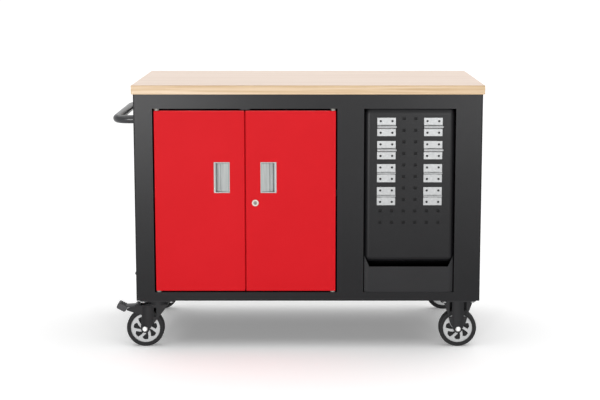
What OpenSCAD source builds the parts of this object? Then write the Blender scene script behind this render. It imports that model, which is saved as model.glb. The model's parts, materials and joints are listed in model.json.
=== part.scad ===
// Mobile workbench: steel cabinet on casters with a wood top, a two-door cupboard and an open tool niche.
// Millimetres. Front is -Y, +Z is up, the floor is Z = 0, the origin is under the middle of the whole bench.

/* [Worktop] */
// Width of the wood top
top_w = 1145; // [1000:5:1400]
// Depth of the wood top
top_d = 600; // [520:5:700]
// Thickness of the wood top
top_t = 30; // [20:1:45]
// Radius of the eased edges
top_edge_r = 3; // [1:0.5:6]
// Overhang of the top past the cabinet on every side
top_overhang = 5.5; // [3:0.5:20]

/* [Cabinet] */
// Height of the steel cabinet
body_h = 684; // [620:1:760]
// Thickness of the folded sheet
sheet_t = 1.5; // [1:0.1:2]
// Outer bend radius of the cabinet's upright corners
corner_r = 4.5; // [3:0.5:10]
// Face width of the left stile
left_stile_w = 61.5; // [50:0.5:90]
// Face width of the stile between cupboard and niche
mid_stile_w = 86.5; // [60:0.5:110]
// Face width of the right stile
right_stile_w = 86.5; // [60:0.5:110]
// Face height of the top rail
top_rail_h = 46.5; // [36:0.5:70]
// Face height of the bottom rail
bottom_rail_h = 29; // [24:0.5:50]
// Depth of the folded returns behind the front faces
return_d = 30; // [26:1:40]
// Width of the side panels' returns at the back
back_return_w = 28; // [20:1:45]

/* [Cupboard] */
// Depth of a door pan
door_d = 20; // [18:0.5:22]
// Thickness of the door sheet
door_t = 1.2; // [0.8:0.1:1.6]
// Width of the lips folded in at the back of a door
door_lip = 14; // [8:1:20]
// Gap between a door and the stile that it hangs on
door_side_gap = 5; // [4.5:0.5:8]
// Gap between the two doors
door_centre_gap = 3.5; // [2:0.5:6]
// Gap above the doors
door_top_gap = 7; // [4:0.5:10]
// Gap below the doors
door_bottom_gap = 4.5; // [3:0.5:8]
// Distance of a door's pivot from its edge and from its face
pivot_inset = 9; // [8:0.5:10]
// Diameter of the pivot pins
pivot_d = 6; // [4:0.5:8]
// Height of the shelf's top above the cupboard floor
shelf_rise = 338; // [330:1:380]
// Height of the lip at the shelf's front
shelf_lip = 22; // [16:1:26]

/* [Pulls and lock] */
// Width of a recessed pull
pull_w = 52; // [46:0.5:70]
// Height of a recessed pull
pull_h = 101.5; // [70:0.5:140]
// Depth of a pull behind the door's face
pull_d = 17; // [13:0.5:17.5]
// Distance of a pull from the door's free edge
pull_edge = 48.5; // [45:0.5:80]
// Height of the pulls' centre above the middle of the doors
pull_rise = 80; // [70:1:180]
// Diameter of the lock's head
lock_head_d = 22; // [20:0.5:26]
// Distance of the lock from the right door's free edge
lock_edge = 31; // [28:0.5:34]
// Reach of the lock's cam from its axis
cam_reach = 30; // [24:0.5:31]

/* [Niche] */
// Width of the niche opening
niche_w = 298.5; // [275:0.5:340]
// Depth of the niche behind the cabinet's face
niche_d = 96; // [85:1:140]
// Distance of the tool panel's face behind the cabinet's face
panel_recess = 8; // [7:0.5:12]
// Radius of the tool panel's rolled edges
panel_edge_r = 18; // [10:1:22]
// Gap between the tool panel and the niche's sides
panel_side_gap = 4; // [3.5:0.5:8]
// Height of the tool panel's lower edge above the niche floor
panel_foot = 100; // [96:1:110]
// Side of the square perforations
perf_size = 10; // [8:0.5:12]
// Spacing of the perforations
perf_pitch = 38; // [36:0.5:40]
// Distance of the first row of perforations below the niche's top edge
perf_drop = 33; // [30:1:40]
// Rows of perforations
perf_rows = 10; // [8:1:11]
// Height of the bin's front rim above the niche floor
bin_h = 86; // [50:1:90]
// Distance of the bin's front panel from the niche's sides
bin_front_inset = 20; // [14:0.5:30]
// Height that the bin's wings stand above its front rim
bin_side_rise = 36; // [0:1:38]
// Distance that the bin's wings run back from its front panel to the niche's sides
bin_wing_back = 5; // [3:0.5:5.5]

/* [Hinged plates] */
// Side of a square hinged plate
plate_w = 60; // [52:1:66]
// Thickness of a leaf
leaf_t = 2; // [1:0.1:2.5]
// Diameter of the leaves' fixing holes
leaf_hole_d = 7.5; // [4:0.5:9]
// Barrel radius of the two upper rows
barrel_r_upper = 6; // [5:0.1:7]
// Barrel radius of the two lower rows
barrel_r_lower = 3.6; // [3.2:0.1:5]
// Width of the middle knuckle
knuckle_w = 32; // [24:1:40]

/* [Push handle] */
// Diameter of the handle tube
handle_d = 28; // [22:1:34]
// Wall of the handle tube
handle_wall = 1.5; // [1:0.1:3]
// Reach of the handle past the left side
handle_reach = 80; // [70:1:120]
// Distance between the handle's two legs
handle_span = 440; // [300:5:470]
// Centre-line radius of the handle's bends
handle_bend_r = 40; // [32:1:48]
// Distance of the handle below the cabinet's top
handle_drop = 89; // [60:1:160]
// Height of the flanges at the handle's ends
flange_h = 58; // [54:1:80]
// Thickness of the flanges
flange_t = 3; // [2:0.5:5]

/* [Casters] */
// Height of a caster from the floor to the cabinet
caster_h = 163; // [158:1:180]
// Wheel diameter
wheel_d = 125; // [110:1:125]
// Tyre width
wheel_w = 35; // [28:1:38]
// Diameter of the wheel's face disc
disc_d = 97; // [80:1:98]
// Length of a caster's top plate, across the bench
plate_l = 116; // [110:1:130]
// Width of a caster's top plate, front to back
plate_d = 84; // [80:1:88]
// Thickness of a caster's top plate
plate_t = 4; // [3:0.5:6]
// Spacing of the plate's bolts across the bench
bolt_l = 92; // [86:1:96]
// Spacing of the plate's bolts front to back
bolt_d = 60; // [56:1:64]
// Distance of a plate's centre from the cabinet's side
caster_inset_x = 68; // [66:1:90]
// Distance of a wheel's middle from the cabinet's front or back
caster_inset_y = 45; // [45:1:60]
// Trail of the swivel casters
trail = 43; // [38:1:44]
// Axle diameter
axle_d = 10; // [8:0.5:12]
// Kingpin diameter
kingpin_d = 12; // [10:0.5:14]
// Thickness of the fork plates
fork_t = 3; // [2.5:0.5:4]

/* [Hidden] */

$fn = 64;
run_gap = 0.05;      // radial running clearance of pins and axles
free_gap = 0.3;      // clearance between faces that move past each other
cut = 1;             // how far a cutter runs past the face that it opens

charcoal = "#3b3b3d";
door_red = "#df242c";
wood = "#e8cfa8";
silver = "#c9ccce";
black = "#1c1c1e";
nylon = "#eceae4";

// Cabinet planes
body_w = top_w - 2 * top_overhang;
body_d = top_d - 2 * top_overhang;
door_opening_w = body_w - left_stile_w - mid_stile_w - right_stile_w - niche_w;
x_l = -body_w / 2;
x_r = body_w / 2;
y_f = -body_d / 2;
y_b = body_d / 2;
z_base = caster_h;
z_top = caster_h + body_h;
x_door_l = x_l + left_stile_w;
x_door_r = x_door_l + door_opening_w;
x_niche_l = x_door_r + mid_stile_w;
x_niche_r = x_r - right_stile_w;
z_open_b = z_base + bottom_rail_h;
z_open_t = z_top - top_rail_h;
y_return = y_f + return_d;
origin_x = (handle_reach - top_overhang) / 2;

// Doors
door_w = (door_opening_w - 2 * door_side_gap - door_centre_gap) / 2;
door_h = z_open_t - z_open_b - door_top_gap - door_bottom_gap;
z_door = z_open_b + door_bottom_gap;
bush_r = 5;
bush_flange_r = 8;
pin_engage = 4;
pin_inside = 10;
pin_collar_t = 2;
pin_collar_lip = 2.5;
pull_flange = 1;
pull_margin = 3;
pull_body_h = pull_h - 2 * pull_margin;
pull_lip = 7;
pull_hook_t = 2.2;
pull_wall = 1.8;
pull_floor_w = 12;
pull_slope_w = 7;
pull_ledge_w = 1.5;
pull_ledge_share = 0.6;
pull_ledge_depth = pull_ledge_share * pull_d;
pull_rim = 8;
pull_u = door_w - pull_edge - pull_w;
pull_z = door_h / 2 + pull_rise;
lock_u = door_w - lock_edge;
lock_head_lip = 2;
lock_body_r = lock_head_d / 2 - lock_head_lip;
lock_plug_r = 6;
lock_tail_r = 4;
lock_proud = 2;
lock_nut_t = 5;
cam_t = 2.5;
cam_w = 14;
lip_lead = 3;
y_lip = y_return - lip_lead;
lock_len = y_lip + sheet_t + free_gap - y_f;
z_shelf = z_open_b + shelf_rise;
lock_below_lip = 17;
lock_z = z_shelf - shelf_lip - lock_below_lip - z_door;
lock_nut_wall = 5;
lock_face_step = 0.4;
lock_tail_end = 3;
key_w = 1.8;
key_h = 8;
key_depth = 5;
cam_hub = 2;

// Niche
niche_h = z_open_t - z_open_b;
niche_cx = (x_niche_l + x_niche_r) / 2;
liner_t = 1.2;
liner_flange = 8;
y_liner = y_f + sheet_t;
y_panel = y_f + panel_recess;
panel_top_gap = 3;
panel_w = niche_w - 2 * panel_side_gap;
panel_h = niche_h - panel_foot - panel_top_gap;
panel_d = niche_d - panel_recess;
panel_z = z_open_b + panel_foot + panel_h / 2;
hook_room = 4;
perf_cols = 6;
z_perf = z_open_t - perf_drop;
bin_t = 1.5;
bin_recess = 1.5;
bin_side_gap = 3;
bin_top_gap = 4;
bin_half = niche_w / 2 - bin_side_gap;
bin_front_w = niche_w - 2 * bin_front_inset;
bin_wing_d = bin_recess + bin_wing_back;
bin_wing_a = atan(bin_wing_back / (bin_front_inset - bin_side_gap));
bin_back = niche_d - bin_side_gap;
bin_side_h = bin_h + bin_side_rise;
bin_rear_h = panel_foot - bin_top_gap;

// Hinged plates: four rows, two columns
plate_cols = [-2, 2];
upper_rows = [0, 2];
lower_rows = [4, 6];
plate_rows = concat(upper_rows, lower_rows);
plate_rise = 3;
leaf_edge_gap = 0.5;
tab_w = 8;
tab_h = 4;
tab_drop = 6;
pin_share = 0.42;
pin_lip = 1;
pin_head_upper = 3;
pin_head_lower = 1;

// Handle
handle_r = handle_d / 2;
flange_w = 44;
flange_corner_r = 10;
flange_screw_edge = 7;
flange_screw = flange_h / 2 - flange_screw_edge;
screw_r = 2.5;
screw_head_r = 4.8;
screw_head_t = 3;
screw_nut_t = 4;

// Casters
caster_x = x_r - caster_inset_x;
caster_y = y_b - caster_inset_y;
wheel_r = wheel_d / 2;
axle_z = wheel_r;
axle_r = axle_d / 2;
disc_r = disc_d / 2;
hub_r = 12;
web_half = 6;
disc_t = 8;
shoulder_r = 6;
pocket_count = 7;
hub_proud = 2;
hub_half = wheel_w / 2 + hub_proud;
leg_y = hub_half + free_gap;
plate_z = caster_h - plate_t;
bolt_r = 4;
bolt_head_t = 5.3;
bolt_head_r = 7.5;
nut_t = 6.5;
race_r = 33;
race_h = 10;
race_step = 3;
lower_race_h = 4;
crown_t = 4;
crown_z = plate_z - race_h - free_gap - lower_race_h - crown_t;
plate_corner_r = 8;
kingpin_head_t = 5;
kingpin_head_lip = 3;
dome_r = 8.8;
dome_t = 7;
leg_end_r = 15;
leg_back = 11;
leg_rise = 46;
leg_knee = [14, 18];
leg_front_x = 8;
shoulder_z = axle_z + leg_rise;
pedal_back = 26;
pedal_above = 12;
pedal_x = -trail - pedal_back;
pedal_z = axle_z + wheel_r + pedal_above;
pedal_pin_r = 3;
pedal_pin_proud = 1.5;
pedal_ear_r = 8;
ear_l = 30;
ear_drop = 9.5;
ear_r = 4.5;
rigid_top_w = 100;
rigid_waist_w = 72;
rigid_low_w = 50;
rigid_waist_rise = 58;
rigid_low_rise = 16;
rigid_web_t = 6;
lever_w = 2 * leg_y - 2 * free_gap;

// The cabinet stands a little to the right of the origin, because the handle reaches past its left side
module cabinet() {
  translate([origin_x, 0, 0]) children();
}

// Rectangle with round corners, centred
module round_rect(w, d, r) {
  square([w - 2 * r, d], center = true);
  square([w, d - 2 * r], center = true);
  for (x = [-1, 1], y = [-1, 1])
    translate([x * (w / 2 - r), y * (d / 2 - r)]) circle(r = r);
}

// Box with all edges eased, standing on Z = 0 and centred in X and Y
module eased_box(w, d, h, r) {
  translate([0, 0, r]) linear_extrude(h - 2 * r) round_rect(w, d, r);
  translate([-w / 2 + r, -d / 2 + r, 0]) cube([w - 2 * r, d - 2 * r, h]);
  for (z = [r, h - r]) {
    for (y = [-1, 1])
      translate([-w / 2 + r, y * (d / 2 - r), z]) rotate([0, 90, 0]) cylinder(r = r, h = w - 2 * r);
    for (x = [-1, 1])
      translate([x * (w / 2 - r), -d / 2 + r, z]) rotate([-90, 0, 0]) cylinder(r = r, h = d - 2 * r);
    for (x = [-1, 1], y = [-1, 1])
      translate([x * (w / 2 - r), y * (d / 2 - r), z]) sphere(r = r);
  }
}

// A box from its low corner to its high corner
module span(low, high) {
  translate(low) cube(high - low);
}

// Round bar along Y
module bar_y(r, y0, y1) {
  translate([0, y0, 0]) rotate([-90, 0, 0]) cylinder(r = r, h = y1 - y0);
}

// Round bar along X
module bar_x(r, x0, x1) {
  translate([x0, 0, 0]) rotate([0, 90, 0]) cylinder(r = r, h = x1 - x0);
}

// Upright sheet drawn in X and Z, with its thickness along Y from y0
module upright(y0, t) {
  translate([0, y0 + t, 0]) rotate([90, 0, 0]) linear_extrude(t) children();
}

// Plan of the folded sheet that wraps round the cabinet
module wrap_plan() {
  difference() {
    round_rect(body_w, body_d, corner_r);
    round_rect(body_w - 2 * sheet_t, body_d - 2 * sheet_t, corner_r - sheet_t);
  }
}

// Side panel on the left of its own frame: side, front stile and back return in one fold
module side_fold(stile_w) {
  translate([0, 0, z_base]) linear_extrude(body_h) intersection() {
    wrap_plan();
    union() {
      translate([x_l, y_f]) square([stile_w, body_d / 2]);
      translate([x_l, 0]) square([back_return_w, body_d / 2]);
    }
  }
}

// Cross bars under the worktop, and screw places beside them along the front and back returns
bar_w = 36;
bar_h = 22;
bar_x_list = [x_door_l + bar_w, x_door_r - bar_w, x_niche_l + bar_w / 2, x_niche_r - bar_w / 2];
worktop_screw_x = [
  bar_x_list[0] + bar_w, bar_x_list[1] - bar_w, bar_x_list[2] + bar_w, bar_x_list[3] - bar_w
];
worktop_screw_y = y_f + return_d / 2;
module at_worktop_screws() {
  for (x = worktop_screw_x, s = [-1, 1])
    translate([x, s * worktop_screw_y, z_top]) children();
}

// Screw holes through what lies between two heights from the cabinet's top
module worktop_holes(z0, z1) {
  at_worktop_screws() translate([0, 0, z0 - cut]) cylinder(r = screw_r + run_gap, h = z1 - z0 + 2 * cut);
}

worktop_screw_len = top_t / 2;
module worktop() {
  color(wood) cabinet() difference() {
    translate([0, 0, z_top]) eased_box(top_w, top_d, top_t, top_edge_r);
    worktop_holes(0, worktop_screw_len);
  }
}

// Places of the handle's flange screws
module at_flange_screws() {
  for (y = [-1, 1], z = [-1, 1])
    translate([x_l, y * handle_span / 2, z_top - handle_drop + z * flange_screw]) children();
}

module left_side_panel() {
  color(charcoal) cabinet() {
    difference() {
      side_fold(left_stile_w);
      at_flange_screws() bar_x(screw_r + run_gap, -cut, sheet_t + cut);
    }
    span([x_door_l - sheet_t, y_f + sheet_t, z_open_b], [x_door_l, y_return, z_open_t]);
  }
}

module right_side_panel() {
  color(charcoal) cabinet() mirror([1, 0, 0]) side_fold(right_stile_w);
}

// Bush places: each door's pivot, at the top and bottom of the opening
pivot_x = [x_door_l + door_side_gap + pivot_inset, x_door_r - door_side_gap - pivot_inset];
pivot_y = y_f + pivot_inset;
module at_pivots() {
  for (x = pivot_x) translate([x, pivot_y, 0]) children();
}

// Holes that seat the bushes in a sheet whose underside is at z
module bush_holes(z) {
  at_pivots() translate([0, 0, z - cut]) cylinder(r = bush_r + run_gap, h = sheet_t + 2 * cut);
}

module top_rail() {
  color(charcoal) cabinet() difference() {
    union() {
      span([x_door_l, y_f, z_open_t], [x_niche_r, y_f + sheet_t, z_top]);
      span([x_door_l, y_f, z_top - sheet_t], [x_niche_r, y_return, z_top]);
      span([x_door_l, y_f, z_open_t], [x_door_r, y_return, z_open_t + sheet_t]);
    }
    bush_holes(z_open_t);
    worktop_holes(-sheet_t, 0);
  }
}

module bottom_rail() {
  color(charcoal) cabinet() difference() {
    union() {
      span([x_door_l, y_f, z_base], [x_niche_r, y_f + sheet_t, z_open_b]);
      span([x_door_l, y_f, z_open_b - sheet_t], [x_door_r, y_return, z_open_b]);
    }
    bush_holes(z_open_b - sheet_t);
  }
}

module mid_stile() {
  color(charcoal) cabinet() {
    span([x_door_r, y_f, z_open_b], [x_niche_l, y_f + sheet_t, z_open_t]);
    span([x_door_r, y_f, z_open_b], [x_door_r + sheet_t, y_return, z_open_t]);
  }
}

// The back panel lies inside the side panels' returns, and its top edge is folded in under the worktop
back_y0 = y_b - 2 * sheet_t;
back_y1 = y_b - sheet_t;
module back_panel() {
  color(charcoal) cabinet() difference() {
    union() {
      span([x_l + corner_r, back_y0, z_base + sheet_t], [x_r - corner_r, back_y1, z_top]);
      span([x_l + corner_r, y_b - return_d, z_top - sheet_t], [x_r - corner_r, back_y1, z_top]);
    }
    worktop_holes(-sheet_t, 0);
  }
}

// Channels that carry the worktop from front to back, lapped under the front and back returns
module cross_bars() {
  y0 = y_f + sheet_t;
  y1 = back_y0;
  z1 = z_top - sheet_t;
  inner = bar_w / 2 - sheet_t;
  color(charcoal) cabinet() for (x = bar_x_list) difference() {
    span([x - bar_w / 2, y0, z1 - bar_h], [x + bar_w / 2, y1, z1]);
    span([x - inner, y0 - cut, z1 - bar_h - cut], [x + inner, y1 + cut, z1 - sheet_t]);
  }
}

// Bolt places of one caster's plate
module at_plate_bolts() {
  for (x = [-1, 1], y = [-1, 1]) translate([x * bolt_l / 2, y * bolt_d / 2, 0]) children();
}

// Caster places: s is -1 on the left and 1 on the right, f is -1 at the front and 1 at the back
module at_caster(s, f) {
  cabinet() translate([s * caster_x, f * caster_y, 0]) children();
}
corners = [[-1, -1], [-1, 1], [1, -1], [1, 1]];

module base_plate() {
  color(charcoal) difference() {
    cabinet() translate([0, 0, z_base])
      linear_extrude(sheet_t) round_rect(body_w - 2 * sheet_t, body_d - 2 * sheet_t, corner_r - sheet_t);
    for (c = corners) at_caster(c[0], c[1]) at_plate_bolts()
      translate([0, 0, z_base - cut]) cylinder(r = bolt_r + free_gap, h = sheet_t + 2 * cut);
  }
}

module cupboard_floor() {
  color(charcoal) cabinet()
    span([x_l + sheet_t, y_return, z_open_b - sheet_t], [x_door_r, back_y0, z_open_b]);
}

module partition() {
  color(charcoal) cabinet() difference() {
    span([x_door_r, y_return, z_base + sheet_t], [x_door_r + sheet_t, back_y0, z_top]);
    span([x_door_r - cut, y_b - return_d, z_top - sheet_t],
         [x_door_r + sheet_t + cut, back_y0 + cut, z_top + cut]);
  }
}

// Shelf with a downturned lip in front, which the lock's cam catches
module shelf() {
  x0 = x_l + sheet_t;
  x1 = x_door_r;
  y_nose = y_return + free_gap;
  color(charcoal) cabinet() {
    span([x0, y_nose, z_shelf - sheet_t], [x1, back_y0, z_shelf]);
    span([x_door_l + free_gap, y_lip, z_shelf - sheet_t], [x1 - free_gap, y_nose + cut, z_shelf]);
    span([x_door_l + free_gap, y_lip, z_shelf - shelf_lip], [x1 - free_gap, y_lip + sheet_t, z_shelf]);
    for (x = [x0, x1 - sheet_t])
      span([x, y_nose + cut, z_shelf - shelf_lip], [x + sheet_t, back_y0, z_shelf]);
    span([x0, back_y0 - sheet_t, z_shelf - shelf_lip], [x1, back_y0, z_shelf]);
  }
}

// Outline of the niche in X and Z, grown by g
module niche_outline(g) {
  translate([x_niche_l - g, z_open_b - g]) square([niche_w + 2 * g, niche_h + 2 * g]);
}

// Folded box behind the opening, with a flange against the back of the cabinet's face
module niche_liner() {
  depth = niche_d - sheet_t;
  color(charcoal) cabinet() difference() {
    union() {
      upright(y_liner, depth + liner_t) niche_outline(liner_t);
      upright(y_liner, liner_t) niche_outline(liner_flange);
    }
    upright(y_liner - cut, depth + cut) niche_outline(0);
  }
}

// Pressed form of the tool panel, drawn in by g, with rolled front edges; it runs past the niche's back
module panel_form(g) {
  translate([niche_cx, y_panel + g, panel_z]) rotate([-90, 0, 0])
    eased_box(panel_w - 2 * g, panel_h - 2 * g, panel_d + panel_edge_r + cut, panel_edge_r - g);
}

// Sheet inside the tool panel that closes the perforations from behind
module panel_backing() {
  intersection() {
    panel_form(0);
    upright(y_panel + sheet_t + hook_room, sheet_t) niche_outline(0);
  }
}

module perforations() {
  for (c = [0 : perf_cols - 1], r = [0 : perf_rows - 1])
    translate([niche_cx + (c - (perf_cols - 1) / 2) * perf_pitch, z_perf - r * perf_pitch])
      square(perf_size, center = true);
}

module perforated_panel() {
  color(charcoal) cabinet() difference() {
    union() {
      difference() {
        panel_form(0);
        panel_form(sheet_t);
      }
      panel_backing();
    }
    upright(y_f + niche_d, panel_edge_r + 2 * cut) niche_outline(0);
    upright(y_panel - cut, sheet_t + 2 * cut) perforations();
  }
}

// Plan of the bin, drawn in by g: a front, two slanted wings, sides and back
bin_fold_mitre = tan(bin_wing_a / 2);
bin_corner_mitre = tan(45 - bin_wing_a / 2);
function bin_plan(g) = [
  [-bin_front_w / 2 + g * bin_fold_mitre, bin_recess + g],
  [bin_front_w / 2 - g * bin_fold_mitre, bin_recess + g],
  [bin_half - g, bin_wing_d + g * bin_corner_mitre], [bin_half - g, bin_back - g],
  [-bin_half + g, bin_back - g], [-bin_half + g, bin_wing_d + g * bin_corner_mitre]
];

// Open bin: the wings rise from the front rim to the sides, and the sides step down under the tool panel
module parts_bin() {
  color(charcoal) cabinet() translate([niche_cx, y_f, z_open_b]) difference() {
    linear_extrude(bin_side_h) polygon(bin_plan(0));
    translate([0, 0, bin_t]) linear_extrude(bin_side_h) polygon(bin_plan(bin_t));
    upright(-cut, bin_wing_d + bin_t + cut) polygon([
      [-bin_front_w / 2, bin_h], [bin_front_w / 2, bin_h], [bin_half, bin_side_h],
      [bin_half, bin_side_h + cut], [-bin_half, bin_side_h + cut], [-bin_half, bin_side_h]
    ]);
    span([-niche_w / 2, bin_wing_d + bin_t, bin_rear_h], [niche_w / 2, niche_d, bin_side_h + cut]);
  }
}

// Push handle: a bent tube that stands off the left side on two flanges
handle_z = z_top - handle_drop;
handle_leg = handle_reach - handle_r - handle_bend_r;
module handle_tube(r, over) {
  for (s = [-1, 1]) mirror([0, s < 0 ? 1 : 0, 0]) {
    translate([0, handle_span / 2, 0]) bar_x(r, -handle_leg, over);
    translate([-handle_leg, handle_span / 2 - handle_bend_r, 0])
      rotate([0, 0, 90]) rotate_extrude(angle = 90) translate([handle_bend_r, 0]) circle(r = r);
  }
  translate([-handle_leg - handle_bend_r, 0, 0])
    bar_y(r, -handle_span / 2 + handle_bend_r, handle_span / 2 - handle_bend_r);
}

module push_handle() {
  color(black) cabinet() difference() {
    translate([x_l, 0, handle_z]) {
      handle_tube(handle_r, 0);
      for (s = [-1, 1]) translate([-flange_t, s * handle_span / 2, 0])
        rotate([0, 90, 0]) linear_extrude(flange_t) round_rect(flange_h, flange_w, flange_corner_r);
    }
    translate([x_l, 0, handle_z]) handle_tube(handle_r - handle_wall, cut);
    at_flange_screws() bar_x(screw_r + run_gap, -flange_t - cut, cut);
  }
}

// Screws of one size: pan heads under the worktop's returns and on the handle's flanges
module panel_screws() {
  color(silver) cabinet() {
    at_worktop_screws() {
      translate([0, 0, -sheet_t - screw_head_t]) cylinder(r = screw_head_r, h = screw_head_t);
      translate([0, 0, -sheet_t - cut]) cylinder(r = screw_r, h = worktop_screw_len + sheet_t + cut);
    }
    at_flange_screws() {
      bar_x(screw_head_r, -flange_t - screw_head_t, -flange_t);
      bar_x(screw_r, -flange_t - cut, sheet_t + screw_nut_t);
      translate([sheet_t, 0, 0]) rotate([0, 90, 0]) cylinder(r = screw_head_r, h = screw_nut_t, $fn = 6);
    }
  }
}

// Flanged nylon bushes: the flange fills the gap between door and rail
module bush(gap) {
  difference() {
    union() {
      translate([0, 0, -sheet_t]) cylinder(r = bush_r, h = sheet_t + gap - free_gap);
      cylinder(r = bush_flange_r, h = gap - free_gap);
    }
    translate([0, 0, -sheet_t - cut]) cylinder(r = pivot_d / 2 + run_gap, h = sheet_t + gap + 2 * cut);
  }
}

module door_bushes() {
  color(nylon) cabinet() at_pivots() {
    translate([0, 0, z_open_b]) bush(door_bottom_gap);
    translate([0, 0, z_open_t]) mirror([0, 0, 1]) bush(door_top_gap);
  }
}

catch_w = 30;
catch_h = 13;
catch_d = 16;
magnet_w = 10;
magnet_proud = 2;
magnet_rim = 1;
module door_catch() {
  x = (x_door_l + x_door_r) / 2;
  y0 = y_f + door_d + free_gap;
  color(nylon) cabinet() {
    span([x - catch_w / 2, y0 + magnet_proud, z_open_t - catch_h], [x + catch_w / 2, y0 + catch_d, z_open_t]);
    for (s = [-1, 1]) translate([x + s * catch_w / 4, y0, z_open_t])
      span([-magnet_w / 2, 0, magnet_rim - catch_h], [magnet_w / 2, magnet_proud + cut, -magnet_rim]);
  }
}

// Door frames: X runs from the hinge edge to the free edge, Y goes into the cabinet, Z up from the lower edge
module in_left_door() {
  cabinet() translate([x_door_l + door_side_gap, y_f, z_door]) children();
}
module in_right_door() {
  cabinet() translate([x_door_r - door_side_gap, y_f, z_door]) mirror([1, 0, 0]) children();
}

// Upright channel that stiffens a door's face from inside
stiffener_u = 110;
stiffener_w = 34;
stiffener_d = 12;
module door_stiffener() {
  z0 = door_lip + free_gap;
  z1 = door_h - door_lip - free_gap;
  difference() {
    span([stiffener_u, door_t, z0], [stiffener_u + stiffener_w, stiffener_d, z1]);
    span([stiffener_u + door_t, 0, z0 - cut],
         [stiffener_u + stiffener_w - door_t, stiffener_d - door_t, z1 + cut]);
  }
}

module door_pan() {
  fold_r = 1.8;
  door_stiffener();
  difference() {
    translate([door_w / 2, door_d / 2, 0]) eased_box(door_w, door_d, door_h, fold_r);
    span([door_t, door_t, door_t], [door_w - door_t, door_d - door_t, door_h - door_t]);
    span([door_lip, door_d - 2 * door_t, door_lip], [door_w - door_lip, door_d + cut, door_h - door_lip]);
    span([pull_u + pull_margin - run_gap, -cut, pull_z - pull_body_h / 2 - run_gap],
         [pull_u + pull_w - pull_margin + run_gap, 2 * door_t, pull_z + pull_body_h / 2 + run_gap]);
    for (z = [-cut, door_h - door_t - cut])
      translate([pivot_inset, pivot_inset, z]) cylinder(r = pivot_d / 2 + run_gap, h = door_t + 2 * cut);
  }
}

module left_door() {
  color(door_red) in_left_door() door_pan();
}

module right_door() {
  color(door_red) in_right_door() difference() {
    door_pan();
    translate([lock_u, 0, lock_z]) bar_y(lock_body_r + run_gap, -cut, 2 * door_t);
  }
}

// Face flange of a pull, in section across the door
module pull_face() {
  translate([0, -pull_flange]) square([pull_w, pull_flange]);
}

// Outer section of a pull: an upright wall on the hinge side, a short floor and a long slope
module pull_shell() {
  polygon([
    [pull_margin, -pull_flange], [pull_margin, pull_d], [pull_margin + pull_floor_w, pull_d],
    [pull_w - pull_margin, door_t], [pull_w - pull_margin, -pull_flange]
  ]);
}

// Finger recess of a pull: it undercuts the hook on the hinge side and has a ledge in the slope
module pull_recess() {
  wall_x = pull_margin + pull_wall;
  floor_y = pull_d - pull_wall;
  ledge_x = pull_floor_w + pull_wall + pull_slope_w;
  polygon([
    [pull_lip, -pull_flange - cut], [pull_lip, pull_hook_t], [wall_x, pull_hook_t], [wall_x, floor_y],
    [pull_floor_w + pull_wall, floor_y],
    [ledge_x, pull_ledge_depth], [ledge_x + pull_ledge_w, pull_ledge_depth],
    [pull_w - pull_rim, 0], [pull_w - pull_rim, -pull_flange - cut]
  ]);
}

module pull() {
  translate([pull_u, 0, pull_z]) {
    for (z = [-pull_h / 2, pull_h / 2 - pull_margin])
      translate([0, 0, z]) linear_extrude(pull_margin) pull_face();
    translate([0, 0, -pull_body_h / 2]) linear_extrude(pull_body_h) difference() {
      union() {
        pull_face();
        pull_shell();
      }
      pull_recess();
    }
    for (z = [-pull_body_h / 2, pull_body_h / 2 - pull_wall])
      translate([0, 0, z]) linear_extrude(pull_wall) pull_shell();
  }
}

module left_pull() {
  color(silver) in_left_door() pull();
}

module right_pull() {
  color(silver) in_right_door() pull();
}

// Pivot pins: one at the top and one at the bottom of a door, each running in its bush
module pivot_pins() {
  z0 = -door_bottom_gap - pin_engage;
  z1 = door_h + door_top_gap + pin_engage;
  translate([pivot_inset, pivot_inset, 0]) {
    translate([0, 0, z0]) cylinder(d = pivot_d, h = pin_inside - z0);
    translate([0, 0, door_h - pin_inside]) cylinder(d = pivot_d, h = z1 - door_h + pin_inside);
    for (z = [door_t, door_h - door_t - pin_collar_t])
      translate([0, 0, z]) cylinder(r = pivot_d / 2 + pin_collar_lip, h = pin_collar_t);
  }
}

module left_pivot_pins() {
  color(silver) in_left_door() pivot_pins();
}

module right_pivot_pins() {
  color(silver) in_right_door() pivot_pins();
}

// Cam lock through the right door
module in_lock() {
  in_right_door() translate([lock_u, 0, lock_z]) children();
}

module lock_barrel() {
  color(silver) in_lock() difference() {
    union() {
      bar_y(lock_head_d / 2, -lock_proud, 0);
      bar_y(lock_body_r, -lock_proud / 2, lock_len - free_gap);
    }
    bar_y(lock_plug_r + run_gap, -lock_proud - cut, lock_len + cut);
  }
}

module lock_nut() {
  color(silver) in_lock() difference() {
    translate([0, door_t, 0]) rotate([-90, 0, 0])
      cylinder(r = lock_body_r + lock_nut_wall, h = lock_nut_t, $fn = 6);
    bar_y(lock_body_r + run_gap, 0, door_t + lock_nut_t + cut);
  }
}

module lock_plug() {
  color(silver) in_lock() difference() {
    union() {
      bar_y(lock_plug_r, -lock_proud + lock_face_step, lock_len);
      bar_y(lock_tail_r, lock_len - cut, lock_len + cam_t + lock_tail_end);
    }
    span([-key_w / 2, -lock_proud - cut, -key_h / 2], [key_w / 2, key_depth, key_h / 2]);
  }
}

// The cam lies level when the lock is open and turns up behind the shelf's lip
module lock_cam() {
  color(silver) in_lock() upright(lock_len, cam_t) difference() {
    union() {
      circle(r = lock_plug_r + cam_hub);
      translate([-cam_reach + cam_w / 2, -cam_w / 2]) square([cam_reach - cam_w / 2, cam_w]);
      translate([-cam_reach + cam_w / 2, 0]) circle(d = cam_w);
    }
    circle(r = lock_tail_r + run_gap);
  }
}

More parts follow.
